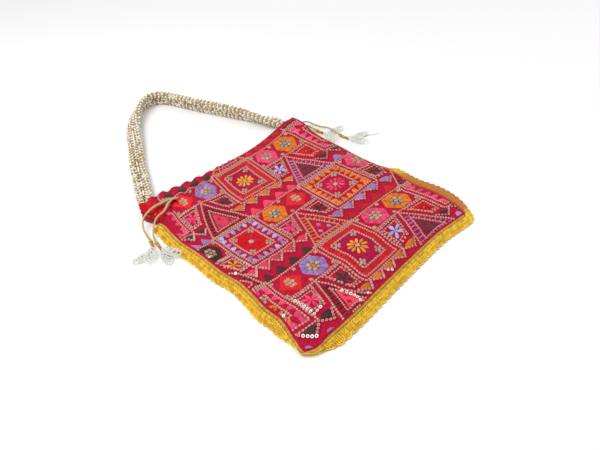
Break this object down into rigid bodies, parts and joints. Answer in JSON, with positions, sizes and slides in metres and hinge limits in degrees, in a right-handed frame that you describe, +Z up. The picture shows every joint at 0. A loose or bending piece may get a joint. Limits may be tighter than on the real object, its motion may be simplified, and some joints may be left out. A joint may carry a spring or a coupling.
{
  "type": "potli bag",
  "caption": "Flat drawstring potli bag of geometric embroidered cloth with scalloped lace trim, gold cords with beaded ends, and a long beaded rope handle.",
  "frame": {"origin": "middle of the underside of the bag as it lies flat, its cords and handle aside", "axes": "+X along the mouth, +Y out of the mouth towards the handle, +Z up from the ground"},
  "size_m": [0.3087, 0.4611, 0.0188],
  "materials": {
    "embroidered_cloth": "satin-stitch and couched-thread embroidery with sequins on woven silk",
    "lace": "soft matte crochet lace",
    "gold_cord": "twisted metallic thread cord",
    "bead_rope": "crocheted rope of pearl and gold seed beads",
    "brass_cord": "knotted yellow-gold wire thread",
    "copper": "satin copper-plated bead",
    "clear_beads": "clear glass bugle and seed beads on wire"
  },
  "bodies": {
    "root": {"front_panel": "embroidered_cloth", "back_panel": "embroidered_cloth", "lace_trim": "lace", "drawstring_left": "gold_cord", "drawstring_right": "gold_cord", "handle_rope_inner": "bead_rope", "handle_rope_outer": "bead_rope", "left_outer_knot": "brass_cord", "left_outer_tube_bead": "copper", "left_outer_petal_a": "clear_beads", "left_outer_petal_b": "clear_beads", "left_inner_knot": "brass_cord", "left_inner_tube_bead": "copper", "left_inner_petal_a": "clear_beads", "left_inner_petal_b": "clear_beads", "right_far_knot": "brass_cord", "right_far_tube_bead": "copper", "right_far_petal_a": "clear_beads", "right_far_petal_b": "clear_beads", "right_near_knot": "brass_cord", "right_near_tube_bead": "copper", "right_near_petal_a": "clear_beads", "right_near_petal_b": "clear_beads"}
  },
  "joints": []
}
